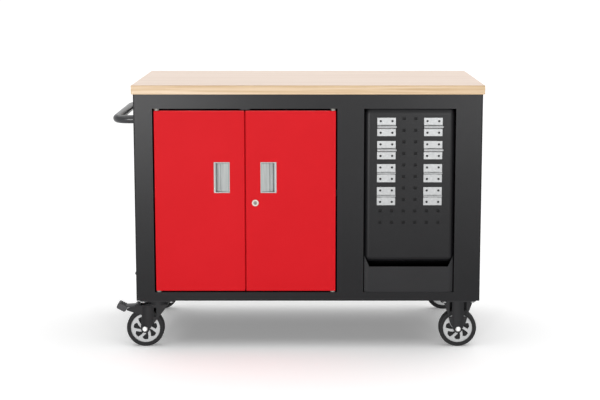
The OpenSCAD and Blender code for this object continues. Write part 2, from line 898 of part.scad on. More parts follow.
// Hinged plates: X is centred on a plate, Y = 0 is the panel's face, Z = 0 is the perforations it hooks in
module at_plate(r, c) {
  cabinet() translate([niche_cx + c * perf_pitch, y_panel, z_perf - r * perf_pitch]) children();
}
function is_upper(row) = row < lower_rows[0];
function barrel_r(row) = is_upper(row) ? barrel_r_upper : barrel_r_lower;
function pin_head(row) = is_upper(row) ? pin_head_upper : pin_head_lower;
function r_axis(r) = r + free_gap;
leaf_axis_z = plate_rise - plate_w / 2;
hole_pitch = perf_pitch;
module leaf_holes(z) {
  for (s = [-1, 1]) translate([s * hole_pitch / 2, 0, z])
    bar_y(leaf_hole_d / 2, -free_gap - leaf_t - cut, cut);
}

// Leaf blank: a flat plate between two heights
module leaf_blank(z0, z1) {
  span([-plate_w / 2, -free_gap - leaf_t, z0], [plate_w / 2, -free_gap, z1]);
}

// Round bar on the hinge axis of a barrel of radius r
module on_axis(r, bar_r, x0, x1) {
  translate([0, -r_axis(r), leaf_axis_z]) bar_x(bar_r, x0, x1);
}

// Room for the other leaf's knuckle, from x0 to x1 and between two heights from the axis
module knuckle_room(r, x0, x1, below, above) {
  span([x0, -r_axis(r) - r - cut, leaf_axis_z - below], [x1, cut, leaf_axis_z + above]);
}

// Hook that passes through a perforation and drops behind the panel
module hook() {
  z1 = tab_h - perf_size / 2;
  span([-tab_w / 2, -free_gap - leaf_t / 2, -perf_size / 2], [tab_w / 2, sheet_t + leaf_t, z1]);
  span([-tab_w / 2, sheet_t, -perf_size / 2 - tab_drop], [tab_w / 2, sheet_t + leaf_t, z1]);
}

module fixed_leaf(r) {
  half = knuckle_w / 2 + free_gap;
  difference() {
    union() {
      leaf_blank(leaf_axis_z, plate_rise);
      on_axis(r, r, -plate_w / 2, plate_w / 2);
      for (s = [-1, 1]) translate([s * perf_pitch / 2, 0, 0]) hook();
    }
    knuckle_room(r, -half, half, r + cut, r + leaf_edge_gap);
    on_axis(r, r * pin_share + run_gap, -plate_w, plate_w);
    leaf_holes(leaf_axis_z + hole_pitch / 2);
  }
}

module free_leaf(r) {
  difference() {
    union() {
      leaf_blank(plate_rise - plate_w, leaf_axis_z);
      on_axis(r, r, -knuckle_w / 2, knuckle_w / 2);
    }
    knuckle_room(r, -plate_w, -knuckle_w / 2, r + leaf_edge_gap, r);
    knuckle_room(r, knuckle_w / 2, plate_w, r + leaf_edge_gap, r);
    on_axis(r, r * pin_share + run_gap, -plate_w, plate_w);
    leaf_holes(leaf_axis_z - hole_pitch / 2);
  }
}

module leaf_pin(r, head) {
  on_axis(r, r * pin_share, -plate_w / 2, plate_w / 2 + head);
  on_axis(r, r * pin_share + pin_lip, plate_w / 2, plate_w / 2 + head);
}

module fixed_leaves() {
  color(silver) for (row = plate_rows, col = plate_cols) at_plate(row, col) fixed_leaf(barrel_r(row));
}

module leaf_pins() {
  color(silver) for (row = plate_rows, col = plate_cols)
    at_plate(row, col) leaf_pin(barrel_r(row), pin_head(row));
}

module free_leaf_at(row, col) {
  color(silver) at_plate(row, col) free_leaf(barrel_r(row));
}
module leaf_top_left() {
  free_leaf_at(plate_rows[0], plate_cols[0]);
}
module leaf_top_right() {
  free_leaf_at(plate_rows[0], plate_cols[1]);
}
module leaf_upper_left() {
  free_leaf_at(plate_rows[1], plate_cols[0]);
}
module leaf_upper_right() {
  free_leaf_at(plate_rows[1], plate_cols[1]);
}
module leaf_lower_left() {
  free_leaf_at(plate_rows[2], plate_cols[0]);
}
module leaf_lower_right() {
  free_leaf_at(plate_rows[2], plate_cols[1]);
}
module leaf_bottom_left() {
  free_leaf_at(plate_rows[3], plate_cols[0]);
}
module leaf_bottom_right() {
  free_leaf_at(plate_rows[3], plate_cols[1]);
}

// Casters
module caster_bolt() {
  translate([0, 0, plate_z - bolt_head_t]) cylinder(r = bolt_head_r, h = bolt_head_t, $fn = 6);
  translate([0, 0, plate_z - cut]) cylinder(r = bolt_r, h = plate_t + sheet_t + nut_t + cut);
  translate([0, 0, z_base + sheet_t]) cylinder(r = bolt_head_r, h = nut_t, $fn = 6);
}

module caster_bolts() {
  color(silver) for (c = corners) at_caster(c[0], c[1]) at_plate_bolts() caster_bolt();
}

module top_plate() {
  difference() {
    translate([0, 0, plate_z]) linear_extrude(plate_t) round_rect(plate_l, plate_d, plate_corner_r);
    at_plate_bolts() translate([0, 0, plate_z - cut]) cylinder(r = bolt_r + free_gap, h = plate_t + 2 * cut);
  }
}

// Top plate of a swivel caster with the upper half of its ball race
module swivel_plate() {
  difference() {
    union() {
      top_plate();
      translate([0, 0, plate_z - race_h]) cylinder(r = race_r, h = race_h);
    }
    translate([0, 0, plate_z - race_h - cut])
      cylinder(d = kingpin_d + 2 * run_gap, h = race_h + plate_t + 2 * cut);
  }
}

module front_left_caster_plate() {
  color(black) at_caster(-1, -1) swivel_plate();
}

module rear_left_caster_plate() {
  color(black) at_caster(-1, 1) swivel_plate();
}

kingpin_end = crown_z - kingpin_head_t;
module caster_kingpins() {
  color(silver) for (f = [-1, 1]) at_caster(-1, f) {
    translate([0, 0, kingpin_end]) cylinder(d = kingpin_d, h = caster_h - kingpin_end);
    translate([0, 0, kingpin_end])
      cylinder(r = kingpin_d / 2 + kingpin_head_lip, h = kingpin_head_t - free_gap);
  }
}

// Side plate of a swivel fork, seen from the front: crown at the kingpin, leg to the axle, ear for the brake
module swivel_side() {
  translate([-trail, axle_z]) circle(r = leg_end_r);
  polygon([
    [-trail - leg_end_r, axle_z], [-trail - leg_back, shoulder_z],
    [pedal_x - ear_l, pedal_z - ear_drop - ear_r], [pedal_x - ear_l, pedal_z - ear_drop + ear_r],
    [-race_r, crown_z + crown_t], [race_r, crown_z + crown_t], [race_r, crown_z], [leg_front_x, shoulder_z],
    [-trail + leg_end_r + leg_knee[0], axle_z + leg_knee[1]], [-trail + leg_end_r, axle_z]
  ]);
  translate([pedal_x - ear_l, pedal_z - ear_drop]) circle(r = ear_r);
  translate([pedal_x, pedal_z]) circle(r = pedal_ear_r);
}

// Sheet that joins the two side plates in front, from the crown down to the shoulder
module fork_apron() {
  polygon([
    [race_r - crown_t, crown_z + cut], [race_r, crown_z + cut], [race_r, crown_z],
    [leg_front_x, shoulder_z], [leg_front_x - fork_t, shoulder_z + fork_t]
  ]);
}

// Arched rib pressed out of each leg, from the axle up to z1, with the flat seat of the axle's nut;
// the child is the leg's outline, which the rib stays inside
rib_w = 38;
rib_t = 5;
rib_margin = 1;
rib_rise = 8;
rib_end_r = leg_end_r - rib_margin;
rib_arch_r = (pow(rib_w / 2, 2) + pow(rib_t, 2)) / (2 * rib_t);
seat_lip = 2;
module rib_outline(x, z1) {
  translate([0, axle_z]) circle(r = rib_end_r);
  polygon([
    [-rib_end_r, axle_z], [x - rib_w / 2, axle_z + rib_rise], [x - rib_w / 2, z1],
    [x + rib_w / 2, z1], [x + rib_w / 2, axle_z + rib_rise], [rib_end_r, axle_z]
  ]);
}
module leg_ribs(x, z1) {
  half = leg_y + fork_t;
  for (s = [0, 1]) mirror([0, s, 0]) {
    intersection() {
      upright(-half - rib_t, rib_t + cut) intersection() {
        rib_outline(x, z1);
        children();
      }
      translate([x, rib_arch_r - half - rib_t, 0]) cylinder(r = rib_arch_r, h = z1 + cut, $fn = 128);
    }
    translate([0, 0, axle_z]) bar_y(dome_r + seat_lip, -half - rib_t, -half + cut);
  }
}

// Slot beside the rib of the leg on the -Y side, which faces out of the bench
slot_w = 9;
slot_rise = 40;
module leg_slots(x, z1) {
  half = leg_y + fork_t;
  span([x, -half - cut, axle_z + slot_rise], [x + slot_w, -leg_y + cut, z1]);
}

swivel_rib_x = 9.5;
swivel_slot_gap = 7;
module swivel_fork() {
  half = leg_y + fork_t;
  difference() {
    union() {
      for (y = [leg_y, -half]) upright(y, fork_t) swivel_side();
      translate([-trail, 0, 0]) leg_ribs(swivel_rib_x, crown_z) translate([trail, 0]) swivel_side();
      intersection() {
        translate([0, 0, crown_z]) cylinder(r = race_r, h = crown_t);
        span([-race_r, -half, crown_z], [race_r, half, crown_z + crown_t]);
      }
      translate([0, 0, crown_z + crown_t - cut]) cylinder(r = race_r - race_step, h = lower_race_h + cut);
      upright(-half, 2 * half) fork_apron();
      translate([pedal_x, 0, pedal_z]) bar_y(pedal_pin_r, -half - pedal_pin_proud, half + pedal_pin_proud);
    }
    translate([0, 0, crown_z - cut]) cylinder(d = kingpin_d + 2 * run_gap, h = plate_z - crown_z);
    translate([-trail, 0, axle_z]) bar_y(axle_r + run_gap, -half - rib_t - cut, half + rib_t + cut);
    translate([-trail, 0, 0]) leg_slots(swivel_rib_x + rib_w / 2 + free_gap, crown_z - swivel_slot_gap);
  }
}

module front_left_fork() {
  color(black) at_caster(-1, -1) swivel_fork();
}

module rear_left_fork() {
  color(black) at_caster(-1, 1) mirror([0, 1, 0]) swivel_fork();
}

// Axle with a domed nut at each end
dome_round_r = 10;
dome_sink = 4.8;
module axle(end) {
  bar_y(axle_r, -end - cut, end + cut);
  for (s = [-1, 1]) mirror([0, s < 0 ? 1 : 0, 0]) translate([0, end, 0]) {
    bar_y(dome_r, 0, dome_t / 2);
    intersection() {
      translate([0, dome_t / 2 - dome_sink, 0]) sphere(r = dome_round_r);
      bar_y(dome_r, dome_t / 2 - cut, dome_t);
    }
  }
}

module front_left_axle() {
  color(silver) at_caster(-1, -1) translate([-trail, 0, axle_z]) axle(leg_y + fork_t + rib_t);
}

module rear_left_axle() {
  color(silver) at_caster(-1, 1) translate([-trail, 0, axle_z]) axle(leg_y + fork_t + rib_t);
}

// Rigid fork: top plate and two tapering legs with an arched rib between slots
module rigid_side() {
  translate([0, axle_z]) circle(r = leg_end_r);
  for (s = [0, 1]) mirror([s, 0]) polygon([
    [0, axle_z], [leg_end_r, axle_z], [rigid_low_w / 2, axle_z + rigid_low_rise],
    [rigid_waist_w / 2, axle_z + rigid_waist_rise], [rigid_top_w / 2, plate_z], [0, plate_z]
  ]);
}

module rigid_fork() {
  half = leg_y + fork_t;
  slot_x = rib_w / 2 + free_gap;
  slot_z = plate_z - rigid_web_t;
  difference() {
    union() {
      top_plate();
      for (y = [leg_y, -half]) upright(y, fork_t) rigid_side();
      leg_ribs(0, plate_z) rigid_side();
      span([-rigid_top_w / 2, -half, plate_z - rigid_web_t], [rigid_top_w / 2, half, plate_z]);
    }
    translate([0, 0, axle_z]) bar_y(axle_r + run_gap, -half - rib_t - cut, half + rib_t + cut);
    for (x = [slot_x, -slot_x - slot_w]) leg_slots(x, slot_z);
  }
}

module front_right_fork() {
  color(black) at_caster(1, -1) rigid_fork();
}

module rear_right_fork() {
  color(black) at_caster(1, 1) mirror([0, 1, 0]) rigid_fork();
}

module rigid_axles() {
  color(silver) for (f = [-1, 1]) at_caster(1, f) translate([0, 0, axle_z]) axle(leg_y + fork_t + rib_t);
}

// Wheel: black core and tyre, with a silver disc seated in each face
ring_out = 4.5;
ring_r = disc_r + ring_out;
ring_w = 1.6;
ring_depth = 1;
tread_y = 6;
module tyre_section() {
  difference() {
    tyre_blank();
    for (s = [-1, 1]) {
      translate([ring_r, s * wheel_w / 2]) square([ring_w, 2 * ring_depth], center = true);
      translate([wheel_r, s * tread_y]) square([2 * ring_depth, ring_w], center = true);
    }
  }
}
module tyre_blank() {
  r0 = disc_r;
  r1 = wheel_r;
  half = wheel_w / 2;
  translate([axle_r + run_gap, -hub_half]) square([hub_r - axle_r - run_gap, 2 * hub_half]);
  translate([axle_r + run_gap, -web_half]) square([r0 - axle_r, 2 * web_half]);
  translate([r0, -half]) square([r1 - r0 - shoulder_r, 2 * half]);
  translate([r0, -half + shoulder_r]) square([r1 - r0, 2 * (half - shoulder_r)]);
  for (s = [-1, 1]) translate([r1 - shoulder_r, s * (half - shoulder_r)]) circle(r = shoulder_r);
}

module tyre() {
  rotate([90, 0, 0]) rotate_extrude($fn = 96) tyre_section();
}

// Teardrop pocket between two arcs that leave a tip at the hub and turn to a wide round outer end
pocket_arc_r = 50;
pocket_lead = -9;
pocket_lag = -54;
pocket_rim = 9;
pocket_hub = 2;
pocket_phase = -9;
pocket_end_r = 13.5;
pocket_end_at = 27;
pocket_end_turn = -25;
module pocket_arc(heading) {
  translate([hub_r, 0]) rotate(heading) translate([0, -pocket_arc_r]) circle(r = pocket_arc_r, $fn = 128);
}
module pocket() {
  difference() {
    intersection() {
      circle(r = disc_r - pocket_rim);
      pocket_arc(pocket_lead);
      rotate(pocket_end_turn) translate([pocket_end_at, 0]) circle(r = pocket_end_r);
    }
    pocket_arc(pocket_lag);
    circle(r = hub_r + pocket_hub);
  }
}

module disc() {
  difference() {
    rotate_extrude($fn = 96) translate([hub_r, web_half]) square([disc_r - hub_r, disc_t]);
    for (k = [0 : pocket_count - 1]) rotate([0, 0, pocket_phase + k * 360 / pocket_count])
      translate([0, 0, web_half - cut]) linear_extrude(disc_t + 2 * cut) pocket();
  }
}

module discs() {
  for (s = [0, 1]) rotate([0, 0, s * 180]) rotate([90, 0, 0]) disc();
}

module at_wheel(s, f) {
  at_caster(s, f) translate([s < 0 ? -trail : 0, 0, axle_z]) children();
}

module front_left_tyre() {
  color(black) at_wheel(-1, -1) tyre();
}
module rear_left_tyre() {
  color(black) at_wheel(-1, 1) tyre();
}
module front_right_tyre() {
  color(black) at_wheel(1, -1) tyre();
}
module rear_right_tyre() {
  color(black) at_wheel(1, 1) tyre();
}
module front_left_discs() {
  color(silver) at_wheel(-1, -1) discs();
}
module rear_left_discs() {
  color(silver) at_wheel(-1, 1) discs();
}
module front_right_discs() {
  color(silver) at_wheel(1, -1) discs();
}
module rear_right_discs() {
  color(silver) at_wheel(1, 1) discs();
}

// Brake pedal: boss on its pin, a nose over the tread, a narrow arm and a grooved tread pad
pad_l = 34;
pad_t = 21;
pad_corner_r = 7;
pad_tilt = 28;
pad_back = 51;
pad_drop = 3;
pad_grooves = 4;
groove_w = 2.4;
groove_d = 2;
arm_t = 8;
arm_inset = 6;
boss_r = 9;
nose_r = 4;
nose_lead = 1;
shoe_gap = 2;
nose_len = pedal_z - axle_z - sqrt(pow(wheel_r + shoe_gap, 2) - pow(pedal_back, 2));

// Side view of the tread pad, centred, with grooves across its upper face
module pad_profile() {
  pitch = (pad_l - 2 * pad_corner_r) / (pad_grooves - 1);
  difference() {
    round_rect(pad_l, pad_t, pad_corner_r);
    for (k = [0 : pad_grooves - 1])
      translate([pad_corner_r - pad_l / 2 + k * pitch, pad_t / 2])
        square([groove_w, 2 * groove_d], center = true);
  }
}

module brake_pedal() {
  half = lever_w / 2;
  translate([pedal_x, 0, pedal_z]) difference() {
    union() {
      upright(-half, lever_w) {
        circle(r = boss_r);
        translate([-nose_lead - nose_r, nose_r - nose_len]) square([2 * nose_r, nose_len - nose_r]);
        translate([-nose_lead, nose_r - nose_len]) circle(r = nose_r);
      }
      upright(-half, lever_w) translate([-pad_back, -pad_drop]) rotate(-pad_tilt) pad_profile();
      upright(arm_inset - half, lever_w - 2 * arm_inset) polygon([
        [0, arm_t / 2], [0, -arm_t / 2],
        [-pad_back, -pad_drop - arm_t / 2], [-pad_back, -pad_drop + arm_t / 2]
      ]);
    }
    bar_y(pedal_pin_r + run_gap, -lever_w, lever_w);
  }
}

module front_left_brake_pedal() {
  color(black) at_caster(-1, -1) brake_pedal();
}
module rear_left_brake_pedal() {
  color(black) at_caster(-1, 1) brake_pedal();
}

worktop();
left_side_panel();
right_side_panel();
top_rail();
bottom_rail();
mid_stile();
cross_bars();
back_panel();
base_plate();
cupboard_floor();
partition();
shelf();
niche_liner();
perforated_panel();
parts_bin();
panel_screws();
push_handle();
door_bushes();
door_catch();
fixed_leaves();
leaf_pins();
caster_bolts();
caster_kingpins();
front_left_caster_plate();
rear_left_caster_plate();
front_right_fork();
rear_right_fork();
rigid_axles();
left_door();
left_pull();
left_pivot_pins();
right_door();
right_pull();
right_pivot_pins();
lock_barrel();
lock_nut();
lock_plug();
lock_cam();
leaf_top_left();
leaf_top_right();
leaf_upper_left();
leaf_upper_right();
leaf_lower_left();
leaf_lower_right();
leaf_bottom_left();
leaf_bottom_right();
front_left_fork();
front_left_axle();
front_left_brake_pedal();
front_left_tyre();
front_left_discs();
rear_left_fork();
rear_left_axle();
rear_left_brake_pedal();
rear_left_tyre();
rear_left_discs();
front_right_tyre();
front_right_discs();
rear_right_tyre();
rear_right_discs();
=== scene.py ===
# %% [markdown]
# # A mobile workbench
# The bench is folded sheet steel on casters, with a wood top, two red doors and an open niche for hinged
# tool plates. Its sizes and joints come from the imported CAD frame, which is loaded here and never moved.
# This lesson adds what a camera sees: soft edges, paint, wood, plated steel, rubber, light and a camera.

# %% Load the frame
import json
import math

import bmesh
import bpy
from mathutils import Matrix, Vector


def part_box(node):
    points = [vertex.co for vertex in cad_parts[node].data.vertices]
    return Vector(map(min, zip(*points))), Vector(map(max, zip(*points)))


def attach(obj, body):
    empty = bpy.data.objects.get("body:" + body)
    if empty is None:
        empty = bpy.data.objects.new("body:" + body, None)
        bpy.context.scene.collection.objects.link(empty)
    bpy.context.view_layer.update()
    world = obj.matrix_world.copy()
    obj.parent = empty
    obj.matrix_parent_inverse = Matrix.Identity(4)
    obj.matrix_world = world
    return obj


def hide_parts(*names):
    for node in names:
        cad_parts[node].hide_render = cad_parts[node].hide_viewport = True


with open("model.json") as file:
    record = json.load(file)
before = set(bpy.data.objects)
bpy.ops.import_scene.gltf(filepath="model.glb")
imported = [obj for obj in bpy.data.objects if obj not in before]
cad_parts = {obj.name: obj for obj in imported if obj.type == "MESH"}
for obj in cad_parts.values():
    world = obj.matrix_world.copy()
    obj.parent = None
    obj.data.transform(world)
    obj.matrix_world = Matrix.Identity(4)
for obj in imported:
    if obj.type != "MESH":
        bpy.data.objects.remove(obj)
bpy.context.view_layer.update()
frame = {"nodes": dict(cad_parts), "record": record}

MM = 0.001
body_of = {node: body for body, nodes in frame["record"]["behaviour"]["bodies"].items() for node in nodes}
slot_of = {part["node"]: part["material_slot"] for part in frame["record"]["subparts"]}

# %% [markdown]
# ## Camera
# The photograph was taken from a little above the worktop with a long lens, so the cabinet's uprights stay
# almost parallel. The camera stands in front of the middle of the cabinet, looks slightly down, and the
# image is slid a little with the lens shift instead of tilting further, as an architect's lens does.

# %% Set the camera
CAMERA_DISTANCE = 4.448  # metres in front of the worktop's front edge
CAMERA_HEIGHT = 1.275  # metres above the floor
CAMERA_PITCH = math.radians(8.37)
LENS_MM, SENSOR_MM = 82.94, 36
LENS_SHIFT = (-0.0133, -0.06)  # in widths of the image


def in_scene(name, data):
    """Make an object of a mesh, a lamp or a camera and put it in the scene."""
    made = bpy.data.objects.new(name, data)
    bpy.context.scene.collection.objects.link(made)
    return made


top_low, top_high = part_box("worktop")
cabinet_middle = (top_low[0] + top_high[0]) / 2
camera = in_scene("camera", bpy.data.cameras.new("camera"))
camera.location = (cabinet_middle, top_low[1] - CAMERA_DISTANCE, CAMERA_HEIGHT)
camera.rotation_euler = (math.pi / 2 - CAMERA_PITCH, 0, 0)
camera.data.lens = LENS_MM
camera.data.sensor_width = SENSOR_MM
camera.data.shift_x, camera.data.shift_y = LENS_SHIFT
bpy.context.scene.camera = camera
print("camera at", [round(v, 3) for v in camera.location])

# %% [markdown]
# ## Helpers for materials
# Colours are picked as sRGB hex values, the way a paint chart gives them, and Blender wants linear light,
# so one function converts them. Another adds a shader node together with its settings and its links, which
# keeps each material down to the few lines that say what is special about it.

# %% Material helpers
def linear(code):
    """Linear RGBA of an sRGB hex colour such as "#3b3b3d"."""
    channels = [int(code[k:k + 2], 16) / 255 for k in (1, 3, 5)]
    return [c / 12.92 if c <= 0.04045 else ((c + 0.055) / 1.055) ** 2.4 for c in channels] + [1.0]


def add(tree, kind, settings=None, inputs=None):
    """Add a shader node, set its properties, and fill its inputs with values or with links."""
    made = tree.nodes.new("ShaderNode" + kind)
    for name, value in (settings or {}).items():
        setattr(made, name, value)
    for key, value in (inputs or {}).items():
        if isinstance(value, bpy.types.NodeSocket):
            tree.links.new(value, made.inputs[key])
        else:
            made.inputs[key].default_value = value
    return made


def new_material(name, **sockets):
    """A material of one Principled shader; gives it, its tree, the shader and the CAD's coordinates."""
    material = bpy.data.materials.new(name)
    material.use_nodes = True
    tree = material.node_tree
    shader = tree.nodes["Principled BSDF"]
    for key, value in sockets.items():
        shader.inputs[key.replace("_", " ")].default_value = value
    place = add(tree, "TexCoord").outputs["Object"]
    return material, tree, shader, place


def per_metre(size_mm):
    """Texture scale whose features are about size_mm across."""
    return 1 / (size_mm * MM)


print("half grey, #808080, is", round(linear("#808080")[0], 3), "in linear light")

# %% [markdown]
# ## A skin with a fine grain
# Paint, plating and mouldings have this in common: the colour wavers a little, and a fine grain makes the
# gloss uneven and leaves a shallow relief. Each could have its own set of nodes, but one function that joins
# a tone and a grain to a shader serves them all. The finishes below then only say how large theirs are.

# %% Mottled skin
def mottled_skin(tree, shader, tone, grain, colours, ramp, gloss, relief):
    """Let a tone pick between two colours, and a grain set the roughness and a relief.

    ramp holds the tones at which the two colours are reached, gloss the roughness and how far it wavers,
    and relief the strength and the depth in mm of the bumps.
    """
    roughness, spread = gloss
    strength, depth_mm = relief
    tint = add(tree, "ValToRGB", inputs={"Fac": tone})
    for element, position, code in zip(tint.color_ramp.elements, ramp, colours):
        element.position = position
        element.color = linear(code)
    satin = add(tree, "MapRange", inputs={"Value": grain, "To Min": roughness - spread,
                                          "To Max": roughness + spread})
    bumps = add(tree, "Bump", inputs={"Height": grain, "Strength": strength, "Distance": depth_mm * MM})
    tree.links.new(tint.outputs["Color"], shader.inputs["Base Color"])
    tree.links.new(satin.outputs["Result"], shader.inputs["Roughness"])
    tree.links.new(bumps.outputs["Normal"], shader.inputs["Normal"])


print("a grain of 2 mm has the texture scale", round(per_metre(2)))

# %% [markdown]
# ## Powder coat
# The cabinet is sprayed with dry polyester powder and baked. The film flows out to a satin skin with a faint
# grain, so a highlight on it is wide and a little uneven, and its thickness drifts slowly over a hand's
# length, which shifts the colour by a hair. Polyester refracts about as Blender's default of 1.5 does, and
# the specular level is matched to the sheen in the photograph. The grain of the real coat is about half a
# millimetre. It is drawn two to five millimetres wide, so that it still shows in the picture.

# %% Charcoal and red powder coat
FILM_DRIFT_MM = 180
COAT_RAMP = (0.3, 0.7)
COAT_SPREAD, COAT_STRENGTH = 0.06, 0.35


def powder_coat(name, dark, light, roughness, grain_mm, depth_mm, specular):
    """A baked coat that drifts between two shades, with a grain of a size and depth in mm."""
    material, tree, shader, place = new_material(name, Specular_IOR_Level=specular)
    drift = add(tree, "TexNoise", inputs={"Vector": place, "Scale": per_metre(FILM_DRIFT_MM), "Detail": 2})
    grain = add(tree, "TexNoise", inputs={"Vector": place, "Scale": per_metre(grain_mm), "Detail": 3})
    mottled_skin(tree, shader, drift.outputs["Fac"], grain.outputs["Fac"], (dark, light), COAT_RAMP,
                 (roughness, COAT_SPREAD), (COAT_STRENGTH, depth_mm))
    return material


# Cabinet: nearly black, with a wide soft sheen.
charcoal_coat = powder_coat("polyester_powder_coat_charcoal", "#151517", "#18181a",
                            roughness=0.33, grain_mm=2.0, depth_mm=0.03, specular=0.175)
# Bin: the same powder, a shade lighter.
bin_coat = powder_coat("polyester_powder_coat_bin", "#1e1e20", "#222224",
                       roughness=0.36, grain_mm=2.0, depth_mm=0.03, specular=0.2)
# Sheet behind the perforations: painted darker and duller than the face, as painted shade in the holes.
perforation_shade_coat = powder_coat("painted_shade_behind_perforations", "#0f0f10", "#111112",
                        roughness=0.5, grain_mm=2.0, depth_mm=0.03, specular=0.15)
# Doors: a strong, even red with almost no sheen.
red_coat = powder_coat("polyester_powder_coat_red", "#ce0d19", "#d1101c",
                       roughness=0.5, grain_mm=5.0, depth_mm=0.03, specular=0.1)
# Hems: the same red, drawn smoother round the fold, so that it catches the light.
red_hem = powder_coat("polyester_powder_coat_red_hem", "#d00d19", "#d3101c",
                      roughness=0.35, grain_mm=5.0, depth_mm=0.03, specular=0.5)
# Handle: glossier, so that the tube shows a clear light line.
handle_coat = powder_coat("polyester_powder_coat_handle", "#26272a", "#2a2b2e",
                          roughness=0.3, grain_mm=2.0, depth_mm=0.04, specular=0.5)
# Casters: a thin dip coat instead of powder, black and half matt.
caster_coat = powder_coat("cathodic_dip_black", "#19191b", "#1d1d1f",
                          roughness=0.42, grain_mm=3.0, depth_mm=0.05, specular=0.24)
print("coats", charcoal_coat.name, red_coat.name, caster_coat.name)

# %% [markdown]
# ## Wood
# The top is built up from long layers of pale wood with the grain along the bench. On the front edge the
# layers show as streaks some millimetres high and up to half a metre long. A picture of wood would have to
# be wrapped round the edges, so the pattern is solid instead: noise in space, stretched along X, on which the
# top, the edge and the ends agree. Real pores are a few tenths of a millimetre wide and are drawn at about
# two millimetres, so that they show.

# %% Streaks of the wood
GRAIN_STRETCH = (0.02, 1, 1)
LAYER_MM, CAST_MM, PORE_MM = 11, 70, 2.2
STREAK_TONES = ((0.33, "#c8ac86"), (0.48, "#dac4a4"), (0.66, "#e4d2b8"))
CAST_TONES = ((0.35, "#f6ead8"), (0.65, "#fff6f2"))
CAST_SHARE = 0.7
A, B, MIXED = 6, 7, 2  # a Mix node's sockets for colours


def wood_streaks(tree, place):
    """The colour of the streaks and the pattern of the pores, as two sockets."""
    along = add(tree, "Mapping", inputs={"Vector": place, "Scale": GRAIN_STRETCH}).outputs["Vector"]
    layers = add(tree, "TexNoise", inputs={"Vector": along, "Scale": per_metre(LAYER_MM), "Detail": 5,
                                           "Roughness": 0.55, "Distortion": 0.3})
    drift = add(tree, "TexNoise", inputs={"Vector": along, "Scale": per_metre(CAST_MM), "Detail": 3})
    pores = add(tree, "TexNoise", inputs={"Vector": along, "Scale": per_metre(PORE_MM), "Detail": 4})
    streaks = add(tree, "ValToRGB", inputs={"Fac": layers.outputs["Fac"]})
    streaks.color_ramp.elements.new(0.5)
    cast = add(tree, "ValToRGB", inputs={"Fac": drift.outputs["Fac"]})
    for tint, tones in ((streaks, STREAK_TONES), (cast, CAST_TONES)):
        for element, (position, code) in zip(tint.color_ramp.elements, tones):
            element.position = position
            element.color = linear(code)
    tinted = add(tree, "Mix", {"data_type": "RGBA", "blend_type": "MULTIPLY"},
                 {"Factor": CAST_SHARE, A: streaks.outputs["Color"], B: cast.outputs["Color"]})
    return tinted.outputs[MIXED], pores.outputs["Fac"]


print("streaks", LAYER_MM, "mm high and about", round(LAYER_MM / GRAIN_STRETCH[0]), "mm long")

# %% [markdown]
# ## Face layer and umber line
# The thin face layer is paler and rosier than the wood below it, and a darker umber line runs just under it.
# Both depend only on the depth below the face, so two smooth steps place them: one down through the face
# layer, and one that fades the umber line out again below it.

# %% Layers of the top
FACE_MM, UMBER_END_MM = 1.2, 4.2  # depths at which the face layer and the umber line end
FACE_ROSE, FACE_SHARE = "#f6e3de", 0.46
UMBER_TONE, UMBER_SHARE = "#b08a5c", 0.55


def layered_top(tree, place, tinted):
    """The streaks' colour with the face layer and the umber line laid over it, as a socket."""
    height = add(tree, "SeparateXYZ", inputs={"Vector": place}).outputs["Z"]
    depth = add(tree, "Math", {"operation": "SUBTRACT"}, {0: top_high[2], 1: height}).outputs[0]
    under_face = add(tree, "MapRange", {"interpolation_type": "SMOOTHSTEP"},
                     {"Value": depth, "From Min": 0, "From Max": FACE_MM * MM}).outputs["Result"]
    over_core = add(tree, "MapRange", {"interpolation_type": "SMOOTHSTEP"},
                    {"Value": depth, "From Min": FACE_MM * MM, "From Max": UMBER_END_MM * MM,
                     "To Min": 1, "To Max": 0}).outputs["Result"]
    line = add(tree, "Math", {"operation": "MULTIPLY"}, {0: under_face, 1: over_core})
    umber = add(tree, "Math", {"operation": "MULTIPLY"}, {0: line.outputs[0], 1: UMBER_SHARE})
    face = add(tree, "Mix", {"data_type": "RGBA"}, {"Factor": FACE_SHARE, A: tinted, B: linear(FACE_ROSE)})
    layers = add(tree, "Mix", {"data_type": "RGBA"},
                 {"Factor": under_face, A: face.outputs[MIXED], B: tinted})
    umbered = add(tree, "Mix", {"data_type": "RGBA"},
                {"Factor": umber.outputs[0], A: layers.outputs[MIXED], B: linear(UMBER_TONE)})
    return umbered.outputs[MIXED]


print("face layer", FACE_MM, "mm, glue line down to", UMBER_END_MM, "mm")

# %% [markdown]
# ## Lacquer
# The top is lacquered. A clear lacquer has a refractive index of about 1.5 and lies smooth over the pores,
# so at a low angle the face turns paler with the room's reflection. It is a thin coat over a base whose
# gloss and relief follow the pores.

# %% Lacquered wood
LACQUER = {"Coat_Weight": 0.12, "Coat_Roughness": 0.35, "Specular_IOR_Level": 0.3}
SMOOTHEST, ROUGHEST = 0.3, 0.48
PORE_STRENGTH, PORE_DEPTH_MM = 0.25, 0.06


def lacquered_wood():
    """Pale layered wood under lacquer."""
    material, tree, shader, place = new_material("lacquered_pale_wood", **LACQUER)
    tinted, pores = wood_streaks(tree, place)
    sheen = add(tree, "MapRange", inputs={"Value": pores, "To Min": SMOOTHEST, "To Max": ROUGHEST})
    relief = add(tree, "Bump", inputs={"Height": pores, "Strength": PORE_STRENGTH,
                                       "Distance": PORE_DEPTH_MM * MM})
    tree.links.new(layered_top(tree, place, tinted), shader.inputs["Base Color"])
    tree.links.new(sheen.outputs["Result"], shader.inputs["Roughness"])
    tree.links.new(relief.outputs["Normal"], shader.inputs["Normal"])
    return material


wood = lacquered_wood()
print("wood", wood.name, "of", len(wood.node_tree.nodes), "nodes")

